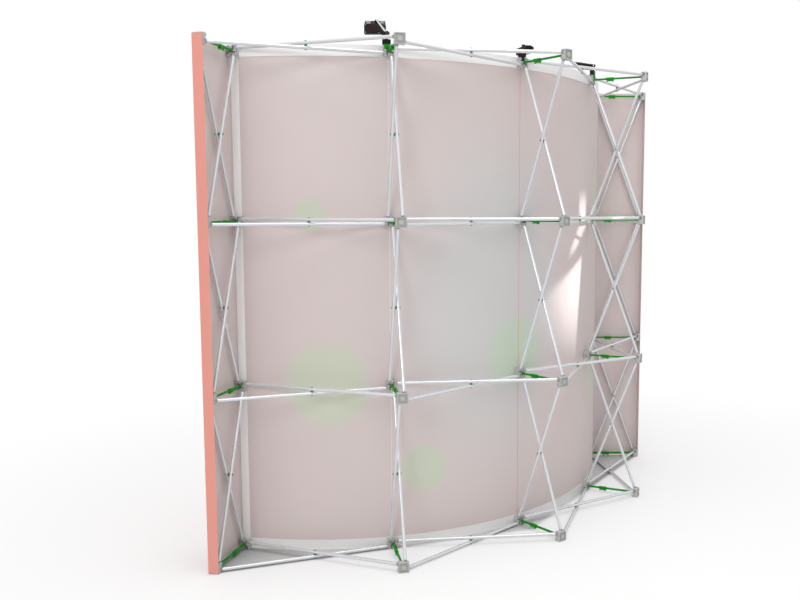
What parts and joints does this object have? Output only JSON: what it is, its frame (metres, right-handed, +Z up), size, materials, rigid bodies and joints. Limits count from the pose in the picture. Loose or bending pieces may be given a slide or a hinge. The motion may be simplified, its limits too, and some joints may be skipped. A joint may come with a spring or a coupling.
{
  "type": "pop up display backwall",
  "caption": "Curved free-standing display backwall: a hinged tube lattice on hub blocks, locked by centre struts, carrying curved panels, wrapped ends and top lamps.",
  "frame": {"origin": "centre of the bounding box on the floor plane", "axes": "+Z up from the floor; +X along the width, towards the end on the left of the reference view; -Y the concave printed side, +Y the open lattice side"},
  "size_m": [2.8554, 0.9052, 2.3545],
  "materials": {
    "hub_plastic": "moulded grey plastic, fine grain",
    "cap_plastic": "moulded light grey plastic",
    "magnet": "nickel-plated magnet",
    "pin_steel": "drawn steel",
    "fitting_plastic": "moulded grey plastic",
    "tube_aluminium": "satin anodised tube",
    "rivet": "dark grey rivet",
    "washer_plastic": "green plastic spacer",
    "lock_plastic": "green moulded plastic",
    "lever_plastic": "lighter green moulded plastic",
    "bar": "painted steel bar",
    "graphic_film": "matt laminated print film",
    "rail": "extruded off-white plastic",
    "end_film": "matt laminated print film",
    "lamp_black": "black enamelled housing",
    "lamp_arm": "polished flat bar",
    "lamp_glass": "frosted front glass"
  },
  "bodies": {
    "frame": {"front_hubs": "hub_plastic", "rear_hubs": "hub_plastic", "rear_hub_caps": "cap_plastic", "hub_magnets": "magnet", "hub_pins": "pin_steel", "tube_end_fittings": "fitting_plastic", "cross_tubes": "tube_aluminium", "ladder_tubes": "tube_aluminium", "scissor_rivets": "rivet", "scissor_washers": "washer_plastic", "lock_arms_rear": "lock_plastic", "lock_arms_front": "lock_plastic", "lock_lever_pins": "pin_steel", "magnet_bars": "bar", "lamp_clips": "lock_plastic", "lamp_bases": "lamp_black"},
    "lock_lever_c1_r1": {"lock_lever_c1_r1": "lever_plastic"},
    "lock_lever_c1_r2": {"lock_lever_c1_r2": "lever_plastic"},
    "lock_lever_c1_r3": {"lock_lever_c1_r3": "lever_plastic"},
    "lock_lever_c1_r4": {"lock_lever_c1_r4": "lever_plastic"},
    "lock_lever_c2_r1": {"lock_lever_c2_r1": "lever_plastic"},
    "lock_lever_c2_r2": {"lock_lever_c2_r2": "lever_plastic"},
    "lock_lever_c2_r3": {"lock_lever_c2_r3": "lever_plastic"},
    "lock_lever_c2_r4": {"lock_lever_c2_r4": "lever_plastic"},
    "lock_lever_c3_r1": {"lock_lever_c3_r1": "lever_plastic"},
    "lock_lever_c3_r2": {"lock_lever_c3_r2": "lever_plastic"},
    "lock_lever_c3_r3": {"lock_lever_c3_r3": "lever_plastic"},
    "lock_lever_c3_r4": {"lock_lever_c3_r4": "lever_plastic"},
    "lock_lever_c4_r1": {"lock_lever_c4_r1": "lever_plastic"},
    "lock_lever_c4_r2": {"lock_lever_c4_r2": "lever_plastic"},
    "lock_lever_c4_r3": {"lock_lever_c4_r3": "lever_plastic"},
    "lock_lever_c4_r4": {"lock_lever_c4_r4": "lever_plastic"},
    "lock_lever_c5_r1": {"lock_lever_c5_r1": "lever_plastic"},
    "lock_lever_c5_r2": {"lock_lever_c5_r2": "lever_plastic"},
    "lock_lever_c5_r3": {"lock_lever_c5_r3": "lever_plastic"},
    "lock_lever_c5_r4": {"lock_lever_c5_r4": "lever_plastic"},
    "front_panel_1": {"front_panel_1": "graphic_film", "panel_rails_1": "rail"},
    "front_panel_2": {"front_panel_2": "graphic_film", "panel_rails_2": "rail"},
    "front_panel_3": {"front_panel_3": "graphic_film", "panel_rails_3": "rail"},
    "front_panel_4": {"front_panel_4": "graphic_film", "panel_rails_4": "rail"},
    "end_panel_left": {"end_panel_left": "end_film"},
    "end_panel_right": {"end_panel_right": "end_film"},
    "lamp_neck_1": {"lamp_neck_1": "lamp_black"},
    "lamp_head_1": {"lamp_arm_1": "lamp_arm", "lamp_head_1": "lamp_black", "lamp_lens_1": "lamp_glass"},
    "lamp_neck_2": {"lamp_neck_2": "lamp_black"},
    "lamp_head_2": {"lamp_arm_2": "lamp_arm", "lamp_head_2": "lamp_black", "lamp_lens_2": "lamp_glass"},
    "lamp_neck_3": {"lamp_neck_3": "lamp_black"},
    "lamp_head_3": {"lamp_arm_3": "lamp_arm", "lamp_head_3": "lamp_black", "lamp_lens_3": "lamp_glass"}
  },
  "joints": [
    {"name": "lever_c1_r1_release", "type": "hinge", "parent": "frame", "child": "lock_lever_c1_r1", "pos_m": [1.2655, -0.35484, 2.218], "axis": [0.6074, -0.7944, 0], "range_deg": [0, 15], "stiffness_Nm_per_rad": 0.02, "springref_deg": -8.59},
    {"name": "lever_c1_r2_release", "type": "hinge", "parent": "frame", "child": "lock_lever_c1_r2", "pos_m": [1.2655, -0.35484, 1.483], "axis": [0.6074, -0.7944, 0], "range_deg": [0, 15], "stiffness_Nm_per_rad": 0.02, "springref_deg": -8.59},
    {"name": "lever_c1_r3_release", "type": "hinge", "parent": "frame", "child": "lock_lever_c1_r3", "pos_m": [1.2655, -0.35484, 0.748], "axis": [0.6074, -0.7944, 0], "range_deg": [0, 15], "stiffness_Nm_per_rad": 0.02, "springref_deg": -8.59},
    {"name": "lever_c1_r4_release", "type": "hinge", "parent": "frame", "child": "lock_lever_c1_r4", "pos_m": [1.2655, -0.35484, 0.013], "axis": [0.6074, -0.7944, 0], "range_deg": [0, 15], "stiffness_Nm_per_rad": 0.02, "springref_deg": -8.59},
    {"name": "lever_c2_r1_release", "type": "hinge", "parent": "frame", "child": "lock_lever_c2_r1", "pos_m": [0.70581, 0.10571, 2.218], "axis": [0.8965, -0.4431, 0], "range_deg": [0, 15], "stiffness_Nm_per_rad": 0.02, "springref_deg": -8.59},
    {"name": "lever_c2_r2_release", "type": "hinge", "parent": "frame", "child": "lock_lever_c2_r2", "pos_m": [0.70581, 0.10571, 1.483], "axis": [0.8965, -0.4431, 0], "range_deg": [0, 15], "stiffness_Nm_per_rad": 0.02, "springref_deg": -8.59},
    {"name": "lever_c2_r3_release", "type": "hinge", "parent": "frame", "child": "lock_lever_c2_r3", "pos_m": [0.70581, 0.10571, 0.748], "axis": [0.8965, -0.4431, 0], "range_deg": [0, 15], "stiffness_Nm_per_rad": 0.02, "springref_deg": -8.59},
    {"name": "lever_c2_r4_release", "type": "hinge", "parent": "frame", "child": "lock_lever_c2_r4", "pos_m": [0.70581, 0.10571, 0.013], "axis": [0.8965, -0.4431, 0], "range_deg": [0, 15], "stiffness_Nm_per_rad": 0.02, "springref_deg": -8.59},
    {"name": "lever_c3_r1_release", "type": "hinge", "parent": "frame", "child": "lock_lever_c3_r1", "pos_m": [0, 0.27061, 2.218], "axis": [1, 0, 0], "range_deg": [0, 15], "stiffness_Nm_per_rad": 0.02, "springref_deg": -8.59},
    {"name": "lever_c3_r2_release", "type": "hinge", "parent": "frame", "child": "lock_lever_c3_r2", "pos_m": [0, 0.27061, 1.483], "axis": [1, 0, 0], "range_deg": [0, 15], "stiffness_Nm_per_rad": 0.02, "springref_deg": -8.59},
    {"name": "lever_c3_r3_release", "type": "hinge", "parent": "frame", "child": "lock_lever_c3_r3", "pos_m": [0, 0.27061, 0.748], "axis": [1, 0, 0], "range_deg": [0, 15], "stiffness_Nm_per_rad": 0.02, "springref_deg": -8.59},
    {"name": "lever_c3_r4_release", "type": "hinge", "parent": "frame", "child": "lock_lever_c3_r4", "pos_m": [0, 0.27061, 0.013], "axis": [1, 0, 0], "range_deg": [0, 15], "stiffness_Nm_per_rad": 0.02, "springref_deg": -8.59},
    {"name": "lever_c4_r1_release", "type": "hinge", "parent": "frame", "child": "lock_lever_c4_r1", "pos_m": [-0.70581, 0.10571, 2.218], "axis": [0.8965, 0.4431, 0], "range_deg": [0, 15], "stiffness_Nm_per_rad": 0.02, "springref_deg": -8.59},
    {"name": "lever_c4_r2_release", "type": "hinge", "parent": "frame", "child": "lock_lever_c4_r2", "pos_m": [-0.70581, 0.10571, 1.483], "axis": [0.8965, 0.4431, 0], "range_deg": [0, 15], "stiffness_Nm_per_rad": 0.02, "springref_deg": -8.59},
    {"name": "lever_c4_r3_release", "type": "hinge", "parent": "frame", "child": "lock_lever_c4_r3", "pos_m": [-0.70581, 0.10571, 0.748], "axis": [0.8965, 0.4431, 0], "range_deg": [0, 15], "stiffness_Nm_per_rad": 0.02, "springref_deg": -8.59},
    {"name": "lever_c4_r4_release", "type": "hinge", "parent": "frame", "child": "lock_lever_c4_r4", "pos_m": [-0.70581, 0.10571, 0.013], "axis": [0.8965, 0.4431, 0], "range_deg": [0, 15], "stiffness_Nm_per_rad": 0.02, "springref_deg": -8.59},
    {"name": "lever_c5_r1_release", "type": "hinge", "parent": "frame", "child": "lock_lever_c5_r1", "pos_m": [-1.2655, -0.35484, 2.218], "axis": [0.6074, 0.7944, 0], "range_deg": [0, 15], "stiffness_Nm_per_rad": 0.02, "springref_deg": -8.59},
    {"name": "lever_c5_r2_release", "type": "hinge", "parent": "frame", "child": "lock_lever_c5_r2", "pos_m": [-1.2655, -0.35484, 1.483], "axis": [0.6074, 0.7944, 0], "range_deg": [0, 15], "stiffness_Nm_per_rad": 0.02, "springref_deg": -8.59},
    {"name": "lever_c5_r3_release", "type": "hinge", "parent": "frame", "child": "lock_lever_c5_r3", "pos_m": [-1.2655, -0.35484, 0.748], "axis": [0.6074, 0.7944, 0], "range_deg": [0, 15], "stiffness_Nm_per_rad": 0.02, "springref_deg": -8.59},
    {"name": "lever_c5_r4_release", "type": "hinge", "parent": "frame", "child": "lock_lever_c5_r4", "pos_m": [-1.2655, -0.35484, 0.013], "axis": [0.6074, 0.7944, 0], "range_deg": [0, 15], "stiffness_Nm_per_rad": 0.02, "springref_deg": -8.59},
    {"name": "front_panel_1_pull", "type": "slide", "parent": "frame", "child": "front_panel_1", "axis": [0, -1, 0], "range_m": [0, 0.4]},
    {"name": "front_panel_2_pull", "type": "slide", "parent": "frame", "child": "front_panel_2", "axis": [0, -1, 0], "range_m": [0, 0.4]},
    {"name": "front_panel_3_pull", "type": "slide", "parent": "frame", "child": "front_panel_3", "axis": [0, -1, 0], "range_m": [0, 0.4]},
    {"name": "front_panel_4_pull", "type": "slide", "parent": "frame", "child": "front_panel_4", "axis": [0, -1, 0], "range_m": [0, 0.4]},
    {"name": "end_panel_left_pull", "type": "slide", "parent": "frame", "child": "end_panel_left", "axis": [0.6074, -0.7944, 0], "range_m": [0, 0.3]},
    {"name": "end_panel_right_pull", "type": "slide", "parent": "frame", "child": "end_panel_right", "axis": [-0.6074, -0.7944, 0], "range_m": [0, 0.3]},
    {"name": "lamp_1_swivel", "type": "hinge", "parent": "frame", "child": "lamp_neck_1", "pos_m": [0.66826, 0.00715, 2.281], "axis": [0, 0, 1], "range_deg": [-170, 170]},
    {"name": "lamp_1_tilt", "type": "hinge", "parent": "lamp_neck_1", "child": "lamp_head_1", "pos_m": [0.66826, 0.00715, 2.289], "axis": [0.7581, -0.6521, 0], "range_deg": [-8, 84]},
    {"name": "lamp_2_swivel", "type": "hinge", "parent": "frame", "child": "lamp_neck_2", "pos_m": [0.01, 0.16561, 2.281], "axis": [0, 0, 1], "range_deg": [-170, 170]},
    {"name": "lamp_2_tilt", "type": "hinge", "parent": "lamp_neck_2", "child": "lamp_head_2", "pos_m": [0.01, 0.16561, 2.289], "axis": [-0.3584, -0.9336, 0], "range_deg": [-92, 0]},
    {"name": "lamp_3_swivel", "type": "hinge", "parent": "frame", "child": "lamp_neck_3", "pos_m": [-0.65033, 0.01601, 2.281], "axis": [0, 0, 1], "range_deg": [-170, 170]},
    {"name": "lamp_3_tilt", "type": "hinge", "parent": "lamp_neck_3", "child": "lamp_head_3", "pos_m": [-0.65033, 0.01601, 2.289], "axis": [0.9996, -0.0297, 0], "range_deg": [-84, 8]}
  ]
}
